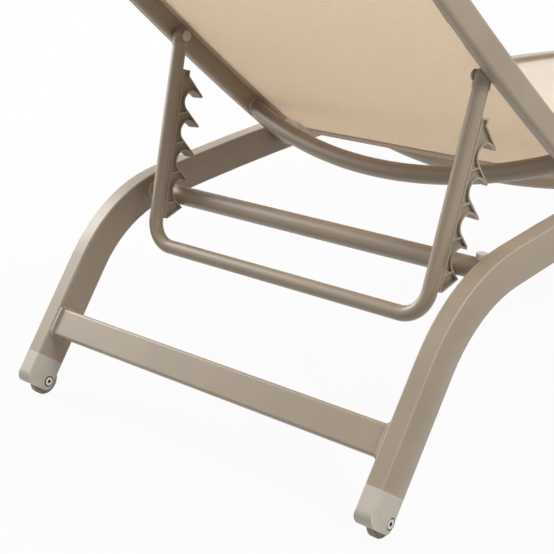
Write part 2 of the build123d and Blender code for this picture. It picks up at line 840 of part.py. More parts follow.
parts["seat_bow_foot"] = make_seat_bow(seat_bow_foot_x)
parts["seat_sling"] = make_seat_sling()
parts["seat_beading_left"], parts["seat_beading_right"] = both_sides(make_seat_beading())
hinge_bolt, hinge_bush = make_hinge()
parts["hinge_bolts"] = Compound(list(both_sides(hinge_bolt)))
parts["hinge_bushes"] = Compound(list(both_sides(hinge_bush)))
parts["backrest_rail_left"], parts["backrest_rail_right"] = both_sides(make_rail())
parts["rail_plugs"] = Compound(list(both_sides(make_plug())))
parts["backrest_bow"] = make_back_bow()
parts["backrest_top_tube"] = make_top_tube()
parts["backrest_sling"] = make_back_sling()
parts["backrest_beading_left"], parts["backrest_beading_right"] = both_sides(make_back_beading())
parts["pivot_pins"] = Compound(list(both_sides(make_pivot_pin())))
parts["prop_frame"] = make_prop_frame()
parts["prop_sleeves"] = Compound(list(both_sides(make_sleeve())))
parts["rack_left"] = make_rack(1)
parts["rack_right"] = make_rack(-1)
parts["rack_rivets"] = Compound(make_rivets())

box = Compound([solid for shape in parts.values() for solid in shape.solids()]).bounding_box()
shift = Vector(-(box.min.X + box.max.X) * half, 0, -box.min.Z)

os.makedirs("parts", exist_ok=True)
for name, shape in parts.items():
    solids = [Location(shift) * solid for solid in shape.solids()]
    whole = solids[0] if len(solids) == 1 else Compound(solids)
    whole.label = name
    export_step(whole, os.path.join("parts", name + ".step"))

print("size", [round(v, 1) for v in box.size])
print("shift", [round(v, 3) for v in shift])
button_spot = Vector(rod_axis.X, 0, button_top)
for name, point in (("hinge", hinge), ("prop_pivot", prop_pivot), ("axle", axle),
                    ("stop_rod", rod_axis), ("foot_end", foot_end), ("arch_end", arch_end),
                    ("button_top", button_spot)):
    print(name, [round(v, 2) for v in point + shift])
print("flat turn", round(flat_turn(), 3), "prop turn", round(flat_turn() * fold_ratio, 3))
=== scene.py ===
"""Looks of a sling sun lounger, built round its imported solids, with studio light and camera.

Lengths are metres in the frame of the solids: +X from the head to the foot, +Y to the
sitter's left, +Z up. Sizes written as a number times MM are real sizes in millimetres.
"""

import json
import logging
import math
from dataclasses import dataclass
from enum import Enum

import bmesh
import bpy
import numpy as np
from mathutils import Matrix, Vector


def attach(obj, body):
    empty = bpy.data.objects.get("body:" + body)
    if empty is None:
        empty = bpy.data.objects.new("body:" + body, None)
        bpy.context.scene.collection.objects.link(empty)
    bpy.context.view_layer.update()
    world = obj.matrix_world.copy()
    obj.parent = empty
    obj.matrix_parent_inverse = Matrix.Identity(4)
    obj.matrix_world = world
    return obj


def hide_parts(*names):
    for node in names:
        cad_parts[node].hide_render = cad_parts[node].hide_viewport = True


LOG = logging.getLogger("lounger")
MM = 0.001
IMAGE_SIDE = 554.0

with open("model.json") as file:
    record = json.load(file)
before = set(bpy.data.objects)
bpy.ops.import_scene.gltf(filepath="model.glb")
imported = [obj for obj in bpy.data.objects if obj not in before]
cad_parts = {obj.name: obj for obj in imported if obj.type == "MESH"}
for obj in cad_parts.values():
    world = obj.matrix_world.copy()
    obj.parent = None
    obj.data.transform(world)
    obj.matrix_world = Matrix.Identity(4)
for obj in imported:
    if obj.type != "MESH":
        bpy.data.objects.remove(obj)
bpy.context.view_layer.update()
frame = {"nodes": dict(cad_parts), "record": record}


class Side(Enum):
    """Side of the lounger, as the sign of its y."""

    LEFT = 1
    RIGHT = -1


class Body(Enum):
    """Moving bodies that new pieces ride on."""

    FRAME = "frame"
    BACKREST = "backrest"


def linear(colour: str) -> tuple[float, float, float, float]:
    """Turns an sRGB colour into linear light.

    Args:
        colour: Hex digits such as "#A89986".

    Returns:
        Red, green and blue in linear light, and an alpha of 1.
    """
    parts = [int(colour[k:k + 2], 16) / 255 for k in (1, 3, 5)]
    light = [c / 12.92 if c <= 0.04045 else ((c + 0.055) / 1.055) ** 2.4 for c in parts]
    return (light[0], light[1], light[2], 1.0)


def add(tree: bpy.types.NodeTree, kind: str, inputs: dict | None = None,
        **settings: object) -> bpy.types.Node:
    """Adds one node with its settings and links.

    Args:
        tree: Node tree that gets the node.
        kind: Node type after the prefix "ShaderNode".
        inputs: Socket name or number to a value, or to the output socket that feeds it.
        **settings: The node's own attributes.

    Returns:
        The new node.
    """
    node = tree.nodes.new("ShaderNode" + kind)
    for name, value in settings.items():
        setattr(node, name, value)
    for key, value in (inputs or {}).items():
        if isinstance(value, bpy.types.NodeSocket):
            tree.links.new(value, node.inputs[key])
        else:
            node.inputs[key].default_value = value
    return node


@dataclass(frozen=True)
class Finish:
    """A finish: its tones and gloss, shared by every material below.

    A noise stays mostly between noise_low and noise_high, and a colour's share is stretched
    from there; a roughness is stretched from gloss_low to gloss_high. A painted highlight on an
    edge starts where the cosine between the true and the rounded normal falls below
    edge_cosine, and has its full share, edge_share, at highlight_full_cosine.
    """

    name: str
    tone: str
    shade: str
    roughness: float
    metallic: float = 0.0
    ior: float = 1.5
    bump: float = 0.2
    noise_low: float = 0.35
    noise_high: float = 0.65
    gloss_low: float = 0.3
    gloss_high: float = 0.7
    edge_width: float = 2.6 * MM
    # edge_share: most share of the painted highlight along edges.
    edge_share: float = 0.5
    edge_cosine: float = 0.995
    highlight_full_cosine: float = 0.9

    def start(self) -> tuple[bpy.types.Material, bpy.types.NodeTree, bpy.types.Node]:
        """Makes an empty material with one shader.

        Returns:
            The material, its node tree and its Principled shader.
        """
        material = bpy.data.materials.new(self.name)
        material.use_nodes = True
        tree = material.node_tree
        tree.nodes.clear()
        shader = add(tree, "BsdfPrincipled", {"Roughness": self.roughness,
                                              "Metallic": self.metallic, "IOR": self.ior})
        add(tree, "OutputMaterial", {"Surface": shader.outputs[0]})
        material.diffuse_color = linear(self.tone)
        return material, tree, shader

    def blend(self, tree: bpy.types.NodeTree, factor: bpy.types.NodeSocket) -> bpy.types.NodeSocket:
        """Mixes the shade into the tone.

        Args:
            tree: Node tree.
            factor: Share of the shade, from 0 to 1.

        Returns:
            The mixed colour.
        """
        mixed = add(tree, "Mix", {0: factor, 6: linear(self.tone), 7: linear(self.shade)},
                    data_type="RGBA")
        return mixed.outputs[2]

    def clouded(self, tree: bpy.types.NodeTree,
                pattern: bpy.types.NodeSocket) -> bpy.types.NodeSocket:
        """Mixes tone and shade by a noise, stretched to its full range."""
        share = add(tree, "MapRange", {0: pattern, 1: self.noise_low, 2: self.noise_high})
        return self.blend(tree, share.outputs[0])

    def noise(self, tree: bpy.types.NodeTree, where: bpy.types.NodeSocket, size: float,
              detail: float = 2.0) -> bpy.types.NodeSocket:
        """Cloud pattern whose blobs are about size across.

        Args:
            tree: Node tree.
            where: Coordinates in metres.
            size: Real size of a blob in metres.
            detail: Octaves of finer noise.

        Returns:
            The pattern's strength, around 0.5.
        """
        node = add(tree, "TexNoise", {"Vector": where, "Scale": 1.0 / size, "Detail": detail})
        return node.outputs[0]

    def painted_edge_highlight(self, tree: bpy.types.NodeTree, colour: bpy.types.NodeSocket,
             edge: str) -> bpy.types.NodeSocket:
        """Paints a highlight along edges: lightens the colour where light would catch a rounded
        rim.

        The share of the painted highlight grows with the angle between the true normal and the
        normal of the same surface with its edges rounded by edge_width.

        Args:
            tree: Node tree.
            colour: Colour of the plain surface.
            edge: Colour of the painted edge highlight, as hex digits.

        Returns:
            The mixed colour.
        """
        rounded = add(tree, "Bevel", {"Radius": self.edge_width}, samples=4)
        true = add(tree, "NewGeometry").outputs["Normal"]
        close = add(tree, "VectorMath", {0: rounded.outputs[0], 1: true}, operation="DOT_PRODUCT")
        share = add(tree, "MapRange", {0: close.outputs["Value"], 1: self.edge_cosine,
                                       2: self.highlight_full_cosine, 3: 0.0, 4: self.edge_share})
        # Painted highlight: the edge colour is mixed in along the rims.
        mixed = add(tree, "Mix", {0: share.outputs[0], 6: colour, 7: linear(edge)},
                    data_type="RGBA")
        return mixed.outputs[2]

    def rough(self, tree: bpy.types.NodeTree, pattern: bpy.types.NodeSocket,
              spread: float) -> bpy.types.NodeSocket:
        """Roughness that varies with a pattern round the finish's own value.

        Args:
            tree: Node tree.
            pattern: Noise, around 0.5.
            spread: Most that the roughness departs from the finish's own.

        Returns:
            The roughness.
        """
        node = add(tree, "MapRange", {0: pattern, 1: self.gloss_low, 2: self.gloss_high,
                                      3: self.roughness - spread, 4: self.roughness + spread})
        return node.outputs[0]


@dataclass(frozen=True)
class PowderCoat(Finish):
    """Powder coated aluminium, baked: a satin skin with a fine orange peel and soft gloss.

    Painted top light: faces turned up are lightened, in specks, towards top_light, the colour
    of a lit top face, where the normal's upward part times a speckled noise passes
    top_light_low, and it has its full share, top_light_share, at top_light_high.
    """

    peel: float = 2.4 * MM
    peel_depth: float = 0.15 * MM
    cloud: float = 85 * MM
    speck: float = 9 * MM
    # Colour of a lit top face, laid on upward faces as painted top light.
    top_light: str = "#C8BDAE"
    top_light_low: float = 0.35
    top_light_high: float = 0.8
    top_light_share: float = 0.22
    # Colour of the painted highlight along edges.
    edge: str = "#E4DCCE"
    gloss_spread: float = 0.05
    coat: float = 0.55
    coat_roughness: float = 0.42

    def make(self) -> bpy.types.Material:
        """Builds the material.

        Returns:
            The finished material. The peel is really about 1 mm and is drawn at 2.4 mm to show.
        """
        material, tree, shader = self.start()
        where = add(tree, "TexCoord").outputs["Object"]
        colour = self.clouded(tree, self.noise(tree, where, self.cloud))
        facing = add(tree, "SeparateXYZ", {0: add(tree, "NewGeometry").outputs["Normal"]})
        speck = self.noise(tree, where, self.speck, 4.0)
        # Painted top light: upward faces are lightened in specks towards the lit top colour.
        upward_speck = add(tree, "Math", {0: facing.outputs[2], 1: speck}, operation="MULTIPLY")
        share = add(tree, "MapRange", {0: upward_speck.outputs[0], 1: self.top_light_low, 2: self.top_light_high,
                                       3: 0.0, 4: self.top_light_share})
        top_lit = add(tree, "Mix", {0: share.outputs[0], 6: colour, 7: linear(self.top_light)},
                    data_type="RGBA")
        tree.links.new(self.painted_edge_highlight(tree, top_lit.outputs[2], self.edge), shader.inputs["Base Color"])
        tree.links.new(self.rough(tree, speck, self.gloss_spread), shader.inputs["Roughness"])
        peel = self.noise(tree, where, self.peel, 1.0)
        bump = add(tree, "Bump", {"Strength": self.bump, "Distance": self.peel_depth,
                                  "Height": peel})
        tree.links.new(bump.outputs[0], shader.inputs["Normal"])
        shader.inputs["Coat Weight"].default_value = self.coat
        shader.inputs["Coat Roughness"].default_value = self.coat_roughness
        return material


@dataclass(frozen=True)
class MouldedPlastic(Finish):
    """Injection moulded polypropylene or nylon: a fine spark-eroded grain and flow clouds."""

    grain: float = 1.3 * MM
    grain_depth: float = 0.1 * MM
    cloud: float = 30 * MM
    # Colour of the painted highlight along edges.
    edge: str = "#DDD4C6"
    gloss_spread: float = 0.06

    def make(self) -> bpy.types.Material:
        """Builds the material.

        Returns:
            The finished material. The grain is really 0.3 mm and is drawn at 1.3 mm to show.
        """
        material, tree, shader = self.start()
        where = add(tree, "TexCoord").outputs["Object"]
        cloud = self.noise(tree, where, self.cloud, 3.0)
        colour = self.painted_edge_highlight(tree, self.clouded(tree, cloud), self.edge)
        tree.links.new(colour, shader.inputs["Base Color"])
        tree.links.new(self.rough(tree, cloud, self.gloss_spread), shader.inputs["Roughness"])
        cells = add(tree, "TexVoronoi", {"Vector": where, "Scale": 1.0 / self.grain})
        bump = add(tree, "Bump", {"Strength": self.bump, "Distance": self.grain_depth,
                                  "Height": cells.outputs["Distance"]})
        tree.links.new(bump.outputs[0], shader.inputs["Normal"])
        return material


@dataclass(frozen=True)
class PlatedSteel(Finish):
    """Zinc plated steel, turned and pressed: bright grey, with faint bands from the tool.

    Blender's wave pattern repeats every pi / 10 at scale 1. The tool's marks are really
    finer than 1 mm, and the bands are drawn 5.655 mm apart so that they show.
    """

    band: float = 5.655 * MM
    band_depth: float = 0.05 * MM
    cloud: float = 4 * MM
    gloss_spread: float = 0.08

    def make(self) -> bpy.types.Material:
        """Builds the material.

        Returns:
            The finished material, with bands across y and a cloudy plating.
        """
        material, tree, shader = self.start()
        where = add(tree, "TexCoord").outputs["Object"]
        cloud = self.noise(tree, where, self.cloud, 3.0)
        tree.links.new(self.blend(tree, cloud), shader.inputs["Base Color"])
        tree.links.new(self.rough(tree, cloud, self.gloss_spread), shader.inputs["Roughness"])
        bands = add(tree, "TexWave", {"Vector": where, "Scale": math.pi / 10 / self.band,
                                      "Distortion": 1.0}, bands_direction="Y")
        bump = add(tree, "Bump", {"Strength": self.bump, "Distance": self.band_depth,
                                  "Height": bands.outputs[1]})
        tree.links.new(bump.outputs[0], shader.inputs["Normal"])
        return material


@dataclass(frozen=True)
class SocketScrew(PlatedSteel):
    """Plated socket screw: bright head, with painted shade in its socket."""

    axis_x: float = -839.45 * MM
    axis_z: float = 20.5 * MM
    socket: float = 2.4 * MM
    blur: float = 0.2 * MM
    # Colour of the painted shade in the socket.
    socket_shade: str = "#4A443C"

    def make(self) -> bpy.types.Material:
        """Builds the material: painted shade makes it dark within the socket's radius of the
        screw's axis.

        Returns:
            The finished material.
        """
        material = super().make()
        tree = material.node_tree
        shader = next(node for node in tree.nodes if node.type == "BSDF_PRINCIPLED")
        plain = shader.inputs["Base Color"].links[0].from_socket
        where = add(tree, "TexCoord").outputs["Object"]
        offset = add(tree, "VectorMath", {0: where, 1: (self.axis_x, 0, self.axis_z)},
                     operation="SUBTRACT")
        flat = add(tree, "VectorMath", {0: offset.outputs[0], 1: (1, 0, 1)}, operation="MULTIPLY")
        away = add(tree, "VectorMath", {0: flat.outputs[0]}, operation="LENGTH")
        share = add(tree, "MapRange", {0: away.outputs["Value"], 1: self.socket,
                                       2: self.socket + self.blur, 3: 1.0, 4: 0.0})
        # Painted shade: the socket's middle is darkened.
        mixed = add(tree, "Mix", {0: share.outputs[0], 6: plain, 7: linear(self.socket_shade)},
                    data_type="RGBA")
        tree.links.new(mixed.outputs[2], shader.inputs["Base Color"])
        return material


@dataclass(frozen=True)
class CoatedMesh(Finish):
    """Polyester yarn coated in vinyl and woven flat: matt yarns that pass over and under.

    In cells of one pitch, chequered, a yarn's height is a half sine along s or along y, to
    the power crown. The shade's share is the sum of gap_shade_share in the gaps, where it is
    painted shade between the yarns, cross_share on every other cell and up to tint_share in
    slow slubs.
    """

    pitch: float = 2.1 * MM
    crown: float = 0.6
    yarn_height: float = 0.35 * MM
    gap: float = 0.25
    gap_shade_share: float = 0.8
    cross_share: float = 0.42
    slub: float = 14 * MM
    tint_share: float = 0.06
    glow: float = 1.0
    depth: float = 12.0 * MM
    scatter: tuple[float, float, float] = (1.0, 0.85, 0.72)
    sheen: float = 0.12
    sheen_roughness: float = 0.5

    def make(self) -> bpy.types.Material:
        """Builds the material on the sheet's own map, whose units are metres.

        Returns:
            The finished material. The yarns are really 1.1 mm apart and are drawn 1.9 to
            2.1 mm apart so that the weave shows.
        """
        material, tree, shader = self.start()
        where = add(tree, "UVMap").outputs[0]
        spots = add(tree, "VectorMath", {0: where, 3: 1.0 / self.pitch}, operation="SCALE")
        cells = add(tree, "VectorMath", {0: spots.outputs[0]}, operation="FLOOR")
        inside = add(tree, "VectorMath", {0: spots.outputs[0]}, operation="FRACTION")
        cell = add(tree, "SeparateXYZ", {0: cells.outputs[0]})
        place = add(tree, "SeparateXYZ", {0: inside.outputs[0]})
        total = add(tree, "Math", {0: cell.outputs[0], 1: cell.outputs[1]}, operation="ADD")
        over = add(tree, "Math", {0: total.outputs[0], 1: 2.0}, operation="FLOORED_MODULO")
        arcs = []
        for socket in (place.outputs[0], place.outputs[1]):
            turned = add(tree, "Math", {0: socket, 1: math.pi}, operation="MULTIPLY")
            arcs.append(add(tree, "Math", {0: turned.outputs[0]}, operation="SINE").outputs[0])
        yarn = add(tree, "Mix", {0: over.outputs[0], 2: arcs[0], 3: arcs[1]}, data_type="FLOAT")
        height = add(tree, "Math", {0: yarn.outputs[0], 1: self.crown}, operation="POWER")
        slub = self.noise(tree, where, self.slub, 4.0)
        # Painted shade: the gaps between yarns, where the height is low, are darkened.
        gap_shade = add(tree, "MapRange", {0: height.outputs[0], 1: self.gap, 2: 1.0,
                                      3: self.gap_shade_share, 4: 0.0})
        tint = add(tree, "MapRange", {0: slub, 1: self.noise_low, 2: self.noise_high,
                                      3: 0.0, 4: self.tint_share})
        cross = add(tree, "Math", {0: over.outputs[0], 1: self.cross_share}, operation="MULTIPLY")
        share = add(tree, "Math", {0: gap_shade.outputs[0], 1: tint.outputs[0]}, operation="ADD")
        share = add(tree, "Math", {0: share.outputs[0], 1: cross.outputs[0]}, operation="ADD",
                    use_clamp=True)
        tree.links.new(self.blend(tree, share.outputs[0]), shader.inputs["Base Color"])
        bump = add(tree, "Bump", {"Strength": self.bump, "Distance": self.yarn_height,
                                  "Height": height.outputs[0]})
        tree.links.new(bump.outputs[0], shader.inputs["Normal"])
        shader.inputs["Subsurface Weight"].default_value = self.glow
        shader.inputs["Subsurface Scale"].default_value = self.depth
        shader.inputs["Subsurface Radius"].default_value = self.scatter
        shader.inputs["Sheen Weight"].default_value = self.sheen
        shader.inputs["Sheen Roughness"].default_value = self.sheen_roughness
        return material


# What each gives the eye: the frame a satin taupe; caps, buttons and knobs paler matt
# plastics; racks the frame's taupe in nylon; hub and tread two duller greys; the washers
# almost black, as painted shade of the recess round each screw head; screws and bolts a
# bright grey; the slings a warm sand that light passes through, their folded edges a denser
# one, and the thread a brown dotted line on them.
FINISHES = {
    "painted_frame": PowderCoat("powder_coated_aluminium", "#A2917B", "#9B8B76", 0.45, bump=0.22),
    "cap_plastic": MouldedPlastic("moulded_polypropylene_cap", "#CBC3B5", "#C2BAAC", 0.5),
    "button_plastic": MouldedPlastic("moulded_polypropylene_button", "#EEEAE1", "#E4DFD4", 0.45,
                                     edge_share=0.0),
    "knob_plastic": MouldedPlastic("moulded_nylon_knob", "#CDC3B2", "#C3B8A6", 0.45,
                                   edge_share=0.0),
    "rack_plastic": MouldedPlastic("moulded_nylon_rack", "#A2937F", "#978874", 0.46, bump=0.15),
    "hub_plastic": MouldedPlastic("moulded_polypropylene_hub", "#B2A999", "#A79E8F", 0.5),
    "tread_rubber": MouldedPlastic("moulded_soft_tread", "#A39A8B", "#968D7F", 0.7,
                                   edge_share=0.0),
    # Near black: painted shade of the recess round each screw head, which the washer fills.
    "ring_plastic": MouldedPlastic("moulded_washer_painted_shade", "#3B362F", "#332E28", 0.6,
                                   edge_share=0.0),
    "steel": PlatedSteel("zinc_plated_steel", "#DAD5CB", "#C6C1B7", 0.38, metallic=0.85),
    "socket_steel": SocketScrew("zinc_plated_socket_screw", "#DAD5CB", "#C6C1B7", 0.42,
                                metallic=0.7),
    "sling_mesh": CoatedMesh("woven_coated_mesh", "#FAD0BA", "#D8AE90", 0.72, bump=0.5),
    "edge_beading": CoatedMesh("woven_coated_hem", "#D6C2AF", "#B59F8B", 0.72, bump=0.5,
                               pitch=1.9 * MM, glow=0.25),
    "thread": MouldedPlastic("spun_polyester_thread", "#A8927C", "#9A8570", 0.8,
                             grain=0.8 * MM, edge_share=0.0),
}

# Solids whose look differs from that of the other pieces in their slot.
OWN_FINISH = {"rest_buttons": "button_plastic", "hinge_bushes": "button_plastic",
              "pivot_pins": "cap_plastic", "axle_screws": "socket_steel"}


class Shop:
    """Holds each finish once, so that every piece of one material shares it."""

    made: dict[str, bpy.types.Material] = {}

    @classmethod
    def material(cls, name: str) -> bpy.types.Material:
        """Gives the material of a finish, made when it is first asked for.

        Args:
            name: Name of the finish.

        Returns:
            The shared material.
        """
        if name not in cls.made:
            cls.made[name] = FINISHES[name].make()
        return cls.made[name]


def report(piece: bpy.types.Object) -> None:
    """Logs a piece's name and number of faces."""
    LOG.info("%s: %d faces", piece.name, len(piece.data.polygons))


def mesh_object(name: str, points: np.ndarray, faces: list, finish: str, body: Body,
                where: np.ndarray | None = None) -> bpy.types.Object:
    """Makes a smooth mesh piece at the origin, dresses it and lets it ride on a body.

    Args:
        name: Piece name.
        points: Array of N points.
        faces: Lists of point numbers, seen anticlockwise from outside.
        finish: Name of the finish, which is also its slot unless it is new here.
        body: Body that carries the piece.
        where: Map position of each point in metres, or None.

    Returns:
        The new object.
    """
    mesh = bpy.data.meshes.new(name)
    mesh.from_pydata(points.reshape(-1, 3).tolist(), [], faces)
    if where is not None:
        layer = mesh.uv_layers.new(name="cut")
        corner = np.zeros(len(mesh.loops), dtype=np.int64)
        mesh.loops.foreach_get("vertex_index", corner)
        layer.data.foreach_set("uv", where.reshape(-1, 2)[corner].astype(np.float32).ravel())
    mesh.polygons.foreach_set("use_smooth", np.full(len(mesh.polygons), True))
    mesh.update()
    piece = bpy.data.objects.new(name, mesh)
    bpy.context.scene.collection.objects.link(piece)
    mesh.materials.append(Shop.material(finish))
    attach(piece, body.value)
    report(piece)
    return piece


def face_outwards(piece: bpy.types.Object, merge: bool = False) -> None:
    """Turns a mesh's faces outwards, each closed shell by itself.

    Args:
        piece: Mesh object to change.
        merge: True to merge doubled points first, such as those at a pole.
    """
    work = bmesh.new()
    work.from_mesh(piece.data)
    if merge:
        bmesh.ops.remove_doubles(work, verts=work.verts, dist=0.001 * MM)
    bmesh.ops.recalc_face_normals(work, faces=work.faces)
    work.to_mesh(piece.data)
    work.free()


def wall_faces(rows: int, ring: int) -> np.ndarray:
    """Faces of an open tube: face (i, k) joins points k and k + 1 of ring i to ring i + 1.

    Args:
        rows: Number of rings.
        ring: Number of points in a ring.

    Returns:
        Array of faces by four point numbers.
    """
    i, k = np.meshgrid(np.arange(rows - 1), np.arange(ring), indexing="ij")
    after = (k + 1) % ring
    return np.stack([i * ring + k, i * ring + after, (i + 1) * ring + after, (i + 1) * ring + k],
                    axis=-1).reshape(-1, 4)


def loft_faces(rows: int, ring: int, flip: bool = False) -> list:
    """Faces of a closed tube of rows rings, with both ends closed by a ladder of quads.

    Each end pairs point k with point ring - 1 - k, so the ring is walked as a top row and a
    bottom row.

    Args:
        rows: Number of rings.
        ring: Even number of points in a ring.
        flip: True to turn the faces round.

    Returns:
        Faces as lists of point numbers.
    """
    j = np.arange(ring // 2 - 1)
    first = np.stack([j + 1, j, ring - 1 - j, ring - 2 - j], axis=-1)
    last = (first + (rows - 1) * ring)[:, ::-1]
    faces = np.concatenate([wall_faces(rows, ring), first, last])
    return (faces[:, ::-1] if flip else faces).tolist()


@dataclass(frozen=True)
class Section:
    """Section of a folded edge: its thickness at shares of the way across it.

    Thicknesses are shares of the flat fold's. They run from one side to the other.
    """

    across: tuple[float, ...]
    swell: tuple[float, ...]

    def ring(self, start: float, reach: float, thickness: float,
             limit: float = math.inf) -> tuple[np.ndarray, np.ndarray]:
        """Closed ring of the section, out along its top and back along its bottom.

        Args:
            start: Place of the side that comes first.
            reach: Signed width.
            thickness: Thickness of the flat fold.
            limit: Greatest thickness.

        Returns:
            Places across, and heights over the middle line.
        """
        place = start + np.array(self.across) * reach
        half = np.minimum(np.array(self.swell) * thickness / 2, limit / 2)
        return np.concatenate([place, place[::-1]]), np.concatenate([half, -half[::-1]])


BEADED_EDGE = Section((0.0, 0.04, 0.14, 0.5, 0.72, 0.8, 0.88, 0.95, 1.0),
                      (0.35, 0.8, 1.0, 1.0, 1.05, 1.3, 1.46, 1.2, 0.5))
FLAT_HEM = Section((0.0, 0.03, 0.1, 0.35, 0.7, 0.94, 1.0),
                   (0.3, 0.75, 1.0, 1.0, 0.95, 0.9, 0.5))

# One stitch: shares of its length, and of its radius there, and the points round it.
SPINDLE_ALONG = (-0.5, -0.3, 0.3, 0.5)
SPINDLE_SWELL = (0.4, 1.0, 1.0, 0.4)
SPINDLE_SIDES = 6


@dataclass(frozen=True)
class Arc:
    """Circular arc in the side view that a sling follows.

    A point at length s along the arc, y across and n above the middle line of the section
    lies at the arc's centre plus a direction times the radius, and the direction turns by
    s over the radius.
    """

    centre_x: float
    centre_z: float
    radius: float
    start_angle: float
    outwards: float

    def place(self, s: np.ndarray, y: np.ndarray, n: np.ndarray) -> np.ndarray:
        """Points of the arc.

        Args:
            s: Lengths along the arc.
            y: Distances across.
            n: Heights towards the sitter.

        Returns:
            Array of points, one for each s, y and n.
        """
        s, y, n = np.broadcast_arrays(s, y, n)
        angle = self.start_angle + s / self.radius
        reach = self.radius + self.outwards * n
        x = self.centre_x + self.outwards * np.sin(angle) * reach
        z = self.centre_z + self.outwards * np.cos(angle) * reach
        return np.stack([x, y, z], axis=-1)

    def along(self, s: np.ndarray) -> np.ndarray:
        """Unit directions of growing s.

        Args:
            s: Lengths along the arc.

        Returns:
            Array of directions.
        """
        angle = self.start_angle + np.asarray(s) / self.radius
        zero = np.zeros_like(angle)
        return self.outwards * np.stack([np.cos(angle), zero, -np.sin(angle)], axis=-1)

    def up(self, s: np.ndarray) -> np.ndarray:
        """Unit directions towards the sitter.

        Args:
            s: Lengths along the arc.

        Returns:
            Array of directions.
        """
        angle = self.start_angle + np.asarray(s) / self.radius
        return np.stack([np.sin(angle), np.zeros_like(angle), np.cos(angle)], axis=-1)


SEAT_ARC = Arc(202.295 * MM, -4640.847 * MM, 4976.0 * MM, 0.0, 1.0)
BACK_ARC = Arc(2706.068 * MM, 4477.898 * MM, 5174.0 * MM, math.radians(36.35), -1.0)

# Pivot of the propping frame in the backrest's rails.
PIVOT_X = -608.719 * MM
PIVOT_Z = 490.998 * MM


